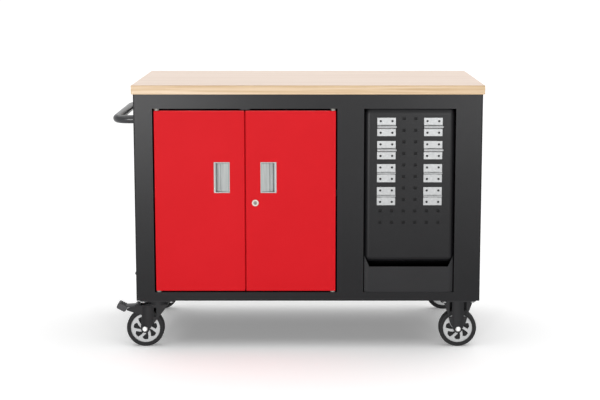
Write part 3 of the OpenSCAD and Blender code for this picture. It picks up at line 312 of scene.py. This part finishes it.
# %% [markdown]
# ## Bare and plated metal
# The pulls are brushed aluminium: fine scratches run one way, so highlights smear across them. The hinged
# plates and screws are zinc-plated steel, a cooler silver with soft cloudy patches, and the axle heads are
# freshly plated. The lock's ring is chrome round a darker nickel-plated plug, and the wheel discs have a
# silver lacquer full of metal flake. All are one idea, a metal whose colour and roughness waver with a noise.
# Brush lines and flakes are a tenth of a millimetre or two. They are drawn some millimetres wide, so that
# they show.

# %% Metals
METAL_RAMP = (0.3, 0.7)
SCRATCH_STRENGTH, SCRATCH_DEPTH_MM = 0.15, 0.03
EVEN = (1, 1, 1)
UPRIGHT = (1, 1, 0.03)  # brushed up and down


def metal(name, dark, light, roughness, spread, streak_mm, stretch=EVEN):
    """A metal that wavers between two shades, with streaks of a width in mm along its stretch."""
    material, tree, shader, place = new_material(name, Metallic=1.0)
    along = add(tree, "Mapping", inputs={"Vector": place, "Scale": stretch}).outputs["Vector"]
    streaks = add(tree, "TexNoise", inputs={"Vector": along, "Scale": per_metre(streak_mm), "Detail": 4})
    mottled_skin(tree, shader, streaks.outputs["Fac"], streaks.outputs["Fac"], (dark, light), METAL_RAMP,
                 (roughness, spread), (SCRATCH_STRENGTH, SCRATCH_DEPTH_MM))
    return material


brushed_aluminium = metal("brushed_aluminium", "#828584", "#9c9f9e",
                          roughness=0.55, spread=0.06, streak_mm=4, stretch=UPRIGHT)
zinc_plate = metal("zinc_plated_steel", "#858687", "#939494", roughness=0.42, spread=0.05, streak_mm=9)
bright_zinc = metal("bright_zinc_plated_steel", "#d2d2d1", "#dededd",
                    roughness=0.42, spread=0.05, streak_mm=4)
chrome = metal("chrome_plate", "#8f8a83", "#a09b94", roughness=0.4, spread=0.05, streak_mm=2)
plug_brass = metal("nickel_plated_brass", "#686560", "#787570", roughness=0.45, spread=0.05, streak_mm=2)
disc_paint = metal("silver_wheel_lacquer", "#a3a4a5", "#b0b1b1", roughness=0.58, spread=0.05, streak_mm=3)
print("metals", brushed_aluminium.name, zinc_plate.name, chrome.name, disc_paint.name)

# %% [markdown]
# ## Rubber and plastics
# The tyres are moulded thermoplastic rubber, matt and slightly dusty. The brake pedals are glass-filled
# nylon with a moulded grain. The inside of the bin is painted a dull black, as painted shade. The pivot
# bushes are plain nylon that lets a little light in. Rubber and nylon refract a little above 1.5, so the
# default stays.
# Moulded grain is some tenths of a millimetre wide, and is drawn one and a half to four millimetres wide.

# %% Tyre rubber, pedal and bush plastics
MOULD_RAMP = (0.35, 0.65)
MOULD_SPREAD, MOULD_STRENGTH = 0.07, 0.4


def moulded(name, dark, light, roughness, grain_mm, depth_mm, **sockets):
    """A dull skin between two shades, with a grain of a size and depth in mm."""
    material, tree, shader, place = new_material(name, **sockets)
    grain = add(tree, "TexNoise", inputs={"Vector": place, "Scale": per_metre(grain_mm), "Detail": 3})
    mottled_skin(tree, shader, grain.outputs["Fac"], grain.outputs["Fac"], (dark, light), MOULD_RAMP,
                 (roughness, MOULD_SPREAD), (MOULD_STRENGTH, depth_mm))
    return material


tyre_rubber = moulded("thermoplastic_rubber", "#212122", "#29292a",
                      roughness=0.7, grain_mm=2.5, depth_mm=0.08, Specular_IOR_Level=0.25)
pedal_plastic = moulded("glass_filled_nylon_black", "#363638", "#444446",
                        roughness=0.55, grain_mm=1.5, depth_mm=0.08, Specular_IOR_Level=0.4)
# Inside of the bin: near black, painted shade for the deep bin.
bin_inside_shade = moulded("painted_shade_inside_bin", "#060607", "#09090a",
                 roughness=0.9, grain_mm=3, depth_mm=0.1, Specular_IOR_Level=0.05)
white_nylon = moulded("natural_nylon", "#85817a", "#928e87",
                      roughness=0.45, grain_mm=4, depth_mm=0.02, Subsurface_Weight=0.1)
print("mouldings", tyre_rubber.name, pedal_plastic.name, white_nylon.name)

# %% [markdown]
# ## Dress the CAD nodes
# The record says which finish slot every node has, so one table from slot to material dresses them all. A
# few nodes have their own shade of the slot's finish.

# %% Give every node its finish
FINISH = {
    "charcoal_powder_coat": charcoal_coat, "red_powder_coat": red_coat, "wood_top": wood,
    "anodised_pull": brushed_aluminium, "zinc_steel": zinc_plate, "lock_chrome": chrome,
    "white_nylon": white_nylon, "black_handle": handle_coat, "black_caster_steel": caster_coat,
    "pedal_plastic": pedal_plastic, "tyre_rubber": tyre_rubber, "wheel_disc": disc_paint,
}
OWN_SHADE = {
    "parts_bin": bin_coat, "lock_plug": plug_brass, "door_catch": pedal_plastic,
    "front_left_axle": bright_zinc, "rear_left_axle": bright_zinc, "rigid_axles": bright_zinc,
}
for name, node in frame["nodes"].items():
    node.data.materials.clear()
    node.data.materials.append(OWN_SHADE.get(name, FINISH[slot_of[name]]))
print("dressed", len(frame["nodes"]), "nodes")

# %% [markdown]
# ## Helpers for meshes
# A CAD mesh arrives as loose triangles, so its points are welded first, and where a flat face should be one
# face again its triangles are joined. A finished copy takes its node's place, rides on the node's body and
# keeps its finish. Normals weighted by area keep large flat faces flat beside a rounded edge.

# %% Mesh helpers
SHARP = math.radians(35)
FLAT = math.radians(1)
WELD = 1e-6


def copied(mesh, join_flat=True):
    """A bmesh of a CAD mesh with its points welded and, where wanted, its flat faces joined."""
    work = bmesh.new()
    work.from_mesh(mesh)
    bmesh.ops.remove_doubles(work, verts=work.verts, dist=WELD)
    if join_flat:
        bmesh.ops.dissolve_limit(work, angle_limit=FLAT, verts=work.verts, edges=work.edges)
    return work


def written(work, mesh):
    """Write finished bmesh work into a mesh."""
    work.to_mesh(mesh)
    work.free()
    return mesh


def shade_smooth(mesh):
    """Shade a mesh smooth between its sharp edges."""
    if "custom_normal" in mesh.attributes:
        mesh.attributes.remove(mesh.attributes["custom_normal"])
    mesh.polygons.foreach_set("use_smooth", [True] * len(mesh.polygons))
    mesh.set_sharp_from_angle(angle=SHARP)


def stand_in(mesh, name):
    """Stand a mesh in a CAD node's place, on the node's body and with its finish."""
    piece = in_scene(mesh.name, mesh)
    piece.modifiers.new("flat_faces_stay_flat", "WEIGHTED_NORMAL").keep_sharp = True
    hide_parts(name)
    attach(piece, body_of[name])
    return piece


print("edges count as sharp from", round(math.degrees(SHARP)), "degrees")

# %% [markdown]
# ## Eased edges
# Stamped, cast and milled parts never have a perfectly sharp edge, and the thin light line along an eased
# edge is what makes them look solid. A rounded edge in the shader alone would be lost in the exported mesh,
# so the worktop, the doors, the bin and the hardware get copies with every sharp edge bevelled.

# %% Ease the edges
EASE_MM = {  # a word in the node's name, and the width of its eased edges
    "worktop": 1.2, "leaf": 0.35, "leaves": 0.35, "discs": 0.7, "fork": 0.6, "caster_plate": 0.8,
    "pedal": 1.2, "barrel": 0.5, "bolts": 0.4, "bin": 0.5, "left_door": 0.5, "right_door": 0.5,
}


def ease_edges(mesh, width):
    """Round the sharp edges of a mesh over a width in mm, and shade it smooth between them."""
    work = copied(mesh)
    edges = [edge for edge in work.edges if len(edge.link_faces) == 2 and edge.calc_face_angle() > SHARP]
    bmesh.ops.bevel(work, geom=edges, offset=width * MM, segments=2, profile=0.5, affect="EDGES",
                    clamp_overlap=True)
    shade_smooth(written(work, mesh))


eased = {}
for name, node in frame["nodes"].items():
    widths = [width for word, width in EASE_MM.items() if word in name]
    if widths:
        copy = node.data.copy()
        copy.name = name + "_eased"
        ease_edges(copy, widths[0])
        eased[name] = stand_in(copy, name)
print("eased", len(eased), "pieces")

# %% [markdown]
# ## Painted shade inside the bin
# The inside of the bin lies in deep shade, and that shade is painted. A second solid would be too much
# for this, so the bin's copy gets a second finish: every face that looks towards the bin's middle is painted
# near black.

# %% Paint the shade inside the bin
LOOKING_IN = 0.25  # cosine of the widest angle at which a face still looks towards the middle
bin_low, bin_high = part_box("parts_bin")
bin_middle = (Vector(bin_low) + Vector(bin_high)) / 2
bin_mesh = eased["parts_bin"].data
bin_mesh.materials.append(bin_inside_shade)
# Faces that look into the bin take the painted shade.
for face in bin_mesh.polygons:
    inward = bin_middle - face.center
    if inward.dot(face.normal) > LOOKING_IN * inward.length:
        face.material_index = 1
print("primed", sum(face.material_index for face in bin_mesh.polygons), "of", len(bin_mesh.polygons), "faces")

# %% [markdown]
# ## Rolled edges of the tool panel
# The tool panel is pressed with rolled edges. The bottom edge is a quarter circle that turns into the dark
# over the bin. The sides turn back later, along a superellipse, and the top leans back slowly along a
# parabola, which catches the light from above. A new sheet could be built from these curves, but then the
# perforations would have to be cut again. So each point of the CAD's roll takes the depth of the curves, and
# the sides and the top edge come closer to the opening.

# %% Curves of the roll
ROLL_RADIUS = 18 * MM
LEFT_POWER, RIGHT_POWER = 2.3, 2.7  # a power of 2 is a circle, and a higher one is squarer
TOP_LEAN = 3.5 * MM / ROLL_RADIUS


def forward_of_circle(sides, top, bottom, power):
    """How far in front of the CAD's circle a point goes, in metres, from its way into each edge's roll."""
    reach = min(math.hypot(sides, top, bottom) / ROLL_RADIUS, 1)
    circle = 1 - math.sqrt(1 - reach ** 2)
    side_curve = 1 - (1 - reach ** power) ** (1 / power)
    depths = (side_curve, TOP_LEAN * reach ** 2, circle)
    shares = [way ** 2 for way in (sides, top, bottom)]
    curve = sum(share * depth for share, depth in zip(shares, depths)) / sum(shares)
    return (circle - curve) * ROLL_RADIUS


half_way = forward_of_circle(ROLL_RADIUS / 2, 0, 0, LEFT_POWER)
print("half way round, the left edge comes forward by", round(half_way / MM, 2), "mm")

# %% [markdown]
# ## The pressed tool panel
# The points of the panel's front move along these curves. The sheet that is seen through the perforations
# is painted darker, as painted shade in the holes: it is every face that looks to the front and lies
# behind the panel's own face.

# %% Roll the tool panel
ROLL_SPREAD = 2.8 * MM  # how much closer the sides and the top come to the opening
ROLL_END = 0.999 * ROLL_RADIUS  # what lies deeper is the straight flange behind the roll
SHEET_BEHIND = 2 * MM
TO_FRONT = -0.99  # the Y of a normal that looks to the front


def rolled_panel(name):
    """Stand in a copy of the tool panel whose side and top edges are squarer than a quarter circle."""
    low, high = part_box(name)
    work = copied(frame["nodes"][name].data, join_flat=False)
    moved = 0
    for vertex in work.verts:
        x, y, z = vertex.co
        left = max(low[0] + ROLL_RADIUS - x, 0)
        right = max(x - high[0] + ROLL_RADIUS, 0)
        top = max(z - high[2] + ROLL_RADIUS, 0)
        bottom = max(low[2] + ROLL_RADIUS - z, 0)
        vertex.co.x += ROLL_SPREAD * (min(right / ROLL_RADIUS, 1) - min(left / ROLL_RADIUS, 1))
        vertex.co.z += ROLL_SPREAD * min(top / ROLL_RADIUS, 1)
        if max(left, right, top, bottom) > 0 and y < low[1] + ROLL_END:
            power = LEFT_POWER if left else RIGHT_POWER
            vertex.co.y -= forward_of_circle(left + right, top, bottom, power)
            moved += 1
    mesh = written(work, bpy.data.meshes.new(name + "_rolled"))
    shade_smooth(mesh)
    mesh.materials.append(charcoal_coat)
    mesh.materials.append(perforation_shade_coat)
    # Faces behind the panel's own face take the painted shade of the holes.
    for face in mesh.polygons:
        if face.normal.y < TO_FRONT and face.center.y > low[1] + SHEET_BEHIND:
            face.material_index = 1
    print("rolled", moved, "of", len(mesh.vertices), "points")
    return stand_in(mesh, name)


rolled_panel("perforated_panel")

# %% [markdown]
# ## Seams of the side panels
# A folded side panel meets the front in a pressed seam, a narrow dark line from top to bottom just inside the
# cabinet's outer corners. A dark stripe of paint would not turn with the light, so the seam is cut: the sheet
# is divided along three upright planes and the middle cut is pushed in.

# %% Press the seams
SEAM_IN = 4.2 * MM  # from the cabinet's side to the middle of the seam
SEAM_HALF = 1.25 * MM
SEAM_DEPTH = 1.05 * MM
ON_LINE = 0.01 * MM  # how close a point on the seam's middle has to be


def seamed_panel(name, side):
    """Stand in a copy of a side panel with a V-shaped seam; side is 0 for the left and 1 for the right."""
    low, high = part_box(name)
    line = (low, high)[side][0] + (1, -1)[side] * SEAM_IN
    work = copied(frame["nodes"][name].data)
    for shift in (-SEAM_HALF, 0, SEAM_HALF):
        bmesh.ops.bisect_plane(work, geom=work.verts[:] + work.edges[:] + work.faces[:],
                               plane_co=(line + shift, 0, 0), plane_no=(1, 0, 0))
    for vertex in work.verts:
        if abs(vertex.co.x - line) + abs(vertex.co.y - low[1]) < ON_LINE:
            vertex.co.y += SEAM_DEPTH
    mesh = written(work, bpy.data.meshes.new(name + "_seamed"))
    mesh.materials.append(charcoal_coat)
    return stand_in(mesh, name)


seamed = [seamed_panel(name, side) for side, name in enumerate(("left_side_panel", "right_side_panel"))]
print("seams in", len(seamed), "side panels")

# %% [markdown]
# ## Recessed pulls
# A pull is pressed from aluminium sheet: a thin face flange, a lip on the hinge side with a dark finger slot
# behind it, and a dish that climbs to the free edge over one shallow groove. Cutting the dish out of a block
# would leave untidy faces, so a section is swept up the door: each level is a closed loop of the same count
# of points, and neighbouring loops are joined by faces.

# %% Press the pulls
FLANGE = -1  # the flange's face is 1 mm in front of the door
# Points of the section: mm from the hinge side, mm behind the door's face. First the front, then the back.
PULL_DISH = [(0, FLANGE), (6.3, FLANGE), (6.3, 15), (9.6, 15), (10.5, 8.5), (20.6, 6.3), (21, 7.5),
             (22.2, 7.5), (22.6, 5.8), (48.6, 0), (49.4, FLANGE), (52, FLANGE)]
PULL_SHELL = [(52, 0), (49, 0), (49, 2), (24, 9.2), (12, 11.2), (11, 17), (3, 17), (3, 0), (0, 0)]
# Levels: mm from the pull's middle, and whether the front and the back are pressed in there.
PULL_LEVELS = ((50.75, False, False), (47.75, False, False), (47.75, False, True), (46.2, True, True))
PULL_EASE_MM = 0.4


def pressed_pull(name, hinge_side):
    """Sweep the pull's section; hinge_side is 0 where the hinge is on the left and 1 on the right."""
    low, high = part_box(name)
    start = (low, high)[hinge_side][0]
    way = (1, -1)[hinge_side]
    door_face = low[1] - FLANGE * MM
    middle = (low[2] + high[2]) / 2
    levels = [(-z, dish, shell) for z, dish, shell in PULL_LEVELS] + list(PULL_LEVELS[::-1])
    work = bmesh.new()
    loops = []
    for z, dish, shell in levels:
        section = [(u, d if dish else FLANGE) for u, d in PULL_DISH]
        section += [(u, d if shell else 0) for u, d in PULL_SHELL]
        loops.append([work.verts.new((start + way * u * MM, door_face + d * MM, middle + z * MM))
                      for u, d in section])
    for under, over in zip(loops, loops[1:]):
        for k in range(len(under)):
            work.faces.new((under[k - 1], under[k], over[k], over[k - 1]))
    work.faces.new(loops[0])
    work.faces.new(loops[-1])
    bmesh.ops.remove_doubles(work, verts=work.verts, dist=WELD)
    bmesh.ops.dissolve_degenerate(work, dist=WELD, edges=work.edges)
    bmesh.ops.recalc_face_normals(work, faces=work.faces)
    mesh = written(work, bpy.data.meshes.new(name + "_pressed"))
    ease_edges(mesh, PULL_EASE_MM)
    mesh.materials.append(brushed_aluminium)
    return stand_in(mesh, name)


pulls = [pressed_pull("left_pull", 0), pressed_pull("right_pull", 1)]
print("pulls", [len(piece.data.polygons) for piece in pulls], "faces")

# %% [markdown]
# ## Closing lip between the doors
# Between the doors the photograph shows a dark red line, not a black one: the left door's edge is folded out
# into a narrow lip behind the right door's, which closes most of the gap. A red light in the gap would be
# false, so the lip is a thin strip with rounded edges, set back behind the face so that it lies in shade.

# %% Fold the lip
LIP_BACK = 9.0 * MM  # behind the doors' faces
LIP_SHEET = 1.2 * MM
LIP_CLEAR = 0.9 * MM  # left open beside the right door
LIP_END = 3.0 * MM  # short of the door's top and bottom
LIP_EASE_MM = 0.4
left_low, left_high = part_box("left_door")
right_low, right_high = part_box("right_door")


def on_door(name, work, door, width, finish):
    """Turn finished mesh work into a red piece that rides on a door, its edges eased over a width in mm."""
    mesh = written(work, bpy.data.meshes.new(name))
    ease_edges(mesh, width)
    mesh.materials.append(finish)
    piece = in_scene(name, mesh)
    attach(piece, door)
    return piece


lip_front = left_low[1] + LIP_BACK
lip_box = ((left_high[0] - LIP_SHEET, right_low[0] - LIP_CLEAR),
           (lip_front, lip_front + LIP_SHEET),
           (left_low[2] + LIP_END, left_high[2] - LIP_END))
lip_work = bmesh.new()
bmesh.ops.create_cube(lip_work, size=1)
for corner in lip_work.verts:
    corner.co = [(a + b) / 2 + c * (b - a) for (a, b), c in zip(lip_box, corner.co)]
on_door("left_door_closing_lip", lip_work, "left_door", LIP_EASE_MM, red_coat)
print("lip", [round((b - a) / MM, 1) for a, b in lip_box], "mm")

# %% [markdown]
# ## Hems of the doors
# The doors' top edges are hemmed, and the round hem draws a thin light line under the dark gap. An eased edge
# is too narrow for that, so the hem is a bar of round section, sunk into the edge and short of the pivot
# bushes, in the glossier red.

# %% Fold the hems
HEM_RADIUS = 1.6 * MM
HEM_SINK = 0.4  # how far the bar's middle is below the edge, in radii
HEM_START = 19.0 * MM  # from the hinge side, clear of the bush
HEM_END = 1.5 * MM  # from the free side
HEM_POINTS = 16
HEM_EASE_MM = 0.3


def hem(name, door, x0, x1):
    """A round hem along a door's top edge between two X values in metres."""
    low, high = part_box(door)
    turns = [2 * math.pi * k / HEM_POINTS for k in range(HEM_POINTS)]
    work = bmesh.new()
    rings = [[work.verts.new((x, low[1] + HEM_RADIUS * (1 - math.cos(turn)),
                              high[2] + HEM_RADIUS * (math.sin(turn) - HEM_SINK))) for turn in turns]
             for x in (x0, x1)]
    for k in range(HEM_POINTS):
        work.faces.new((rings[0][k - 1], rings[0][k], rings[1][k], rings[1][k - 1]))
    for ring in rings:
        work.faces.new(ring)
    bmesh.ops.recalc_face_normals(work, faces=work.faces)
    return on_door(name, work, door, HEM_EASE_MM, red_hem)


hem("left_door_hem", "left_door", left_low[0] + HEM_START, left_high[0] - HEM_END)
hem("right_door_hem", "right_door", right_low[0] + HEM_END, right_high[0] - HEM_START)
print("hems", round(2 * HEM_RADIUS / MM, 1), "mm thick on both doors")

# %% [markdown]
# ## Floor
# A catalogue shot stands on a white paper sweep. More lamps would make the paper white, but the bench too
# bright, so the paper glows a little for the rays that the camera or a reflection sends out, and lights
# nothing itself. It keeps the bench's shadow.

# %% Paper floor
FLOOR_HALF = 40  # metres
PAPER_GLOW = 0.215


def seen_directly(tree):
    """1 for camera, glossy and transmission rays, which should meet a white background."""
    path = add(tree, "LightPath")
    direct = add(tree, "Math", {"operation": "MAXIMUM"},
                 {0: path.outputs["Is Camera Ray"], 1: path.outputs["Is Glossy Ray"]})
    return add(tree, "Math", {"operation": "MAXIMUM"},
               {0: direct.outputs[0], 1: path.outputs["Is Transmission Ray"]}).outputs[0]


paper, paper_tree, paper_shader, _ = new_material("white_paper_sweep", Roughness=0.9, Specular_IOR_Level=0.0)
paper_shader.inputs["Base Color"].default_value = linear("#fdfdfd")
glow = add(paper_tree, "Emission", inputs={"Color": linear("#ffffff"), "Strength": PAPER_GLOW})
lit = add(paper_tree, "AddShader", inputs={0: paper_shader.outputs["BSDF"], 1: glow.outputs["Emission"]})
pick = add(paper_tree, "MixShader", inputs={0: seen_directly(paper_tree), 1: paper_shader.outputs["BSDF"],
                                            2: lit.outputs["Shader"]})
paper_tree.links.new(pick.outputs["Shader"], paper_tree.nodes["Material Output"].inputs["Surface"])

floor_mesh = bpy.data.meshes.new("studio_floor")
floor_mesh.from_pydata([(x * FLOOR_HALF, y * FLOOR_HALF, 0) for x, y in ((-1, -1), (1, -1), (1, 1), (-1, 1))],
                       [], [(0, 1, 2, 3)])
floor_mesh.materials.append(paper)
floor = in_scene("studio_floor", floor_mesh)
print("floor", 2 * FLOOR_HALF, "m wide")

# %% [markdown]
# ## Lamps
# A wide sun overhead is the ceiling softbox that lights the top and leaves a soft dark pool under the
# cabinet. It stands a little behind the bench, so that the pool reaches forward. Two softboxes beside the
# camera, a strong one on the left and a weak one on the right, draw the sheen that fades down the dark coat
# from its upper corners. A strip above the camera is seen only in reflections and draws light lines along
# rolled edges.

# %% Lamps
SUN_STRENGTH = 2.45
SUN_WIDTH = math.radians(100)
SUN_TILT = (math.radians(-9), math.radians(4), 0)
SOFTBOXES = {  # place and aim in metres, width and height in metres, watts
    "left_softbox": ((-1.1, -4.75, 0.6), (-0.4, 0, 0.6), 0.5, 0.5, 64),
    "right_softbox": ((1.25, -4.75, 0.65), (0.5, 0, 0.6), 0.5, 0.5, 34),
    "front_strip": ((1.8, -3.3, 2.4), (0.3, -0.3, 0.7), 1.8, 0.5, 16),
}


def softbox(name, place, aim, width, height, watts):
    """A rectangular area lamp at a place, turned to a point."""
    lamp = in_scene(name, bpy.data.lights.new(name, "AREA"))
    lamp.data.shape = "RECTANGLE"
    lamp.data.size = width
    lamp.data.size_y = height
    lamp.data.energy = watts
    lamp.location = place
    lamp.rotation_euler = (Vector(aim) - Vector(place)).to_track_quat("-Z", "Y").to_euler()
    lamp.visible_camera = False
    return lamp


sun = in_scene("ceiling_softbox", bpy.data.lights.new("ceiling_softbox", "SUN"))
sun.data.energy = SUN_STRENGTH
sun.data.angle = SUN_WIDTH
sun.rotation_euler = SUN_TILT
lamps = {name: softbox(name, *setting) for name, setting in SOFTBOXES.items()}
lamps["front_strip"].visible_diffuse = False
print("lamps", sun.name, *lamps)

# %% [markdown]
# ## Room
# The room is white where the camera or a reflection looks at it, and dim as a light, so that it only fills
# the shadows a little. The colours are shown by the plain standard view.

# %% Room and view
ROOM_DIM, ROOM_WHITE = 0.14, 1.0
world = bpy.data.worlds.new("white_room")
bpy.context.scene.world = world
world.use_nodes = True
room = world.node_tree
dim = add(room, "Background", inputs={"Color": linear("#ffffff"), "Strength": ROOM_DIM})
bright = add(room, "Background", inputs={"Color": linear("#ffffff"), "Strength": ROOM_WHITE})
sky = add(room, "MixShader", inputs={0: seen_directly(room), 1: dim.outputs["Background"],
                                     2: bright.outputs["Background"]})
room.links.new(sky.outputs["Shader"], room.nodes["World Output"].inputs["Surface"])
bpy.context.scene.view_settings.view_transform = "Standard"
print("room", world.name, "at", ROOM_DIM)
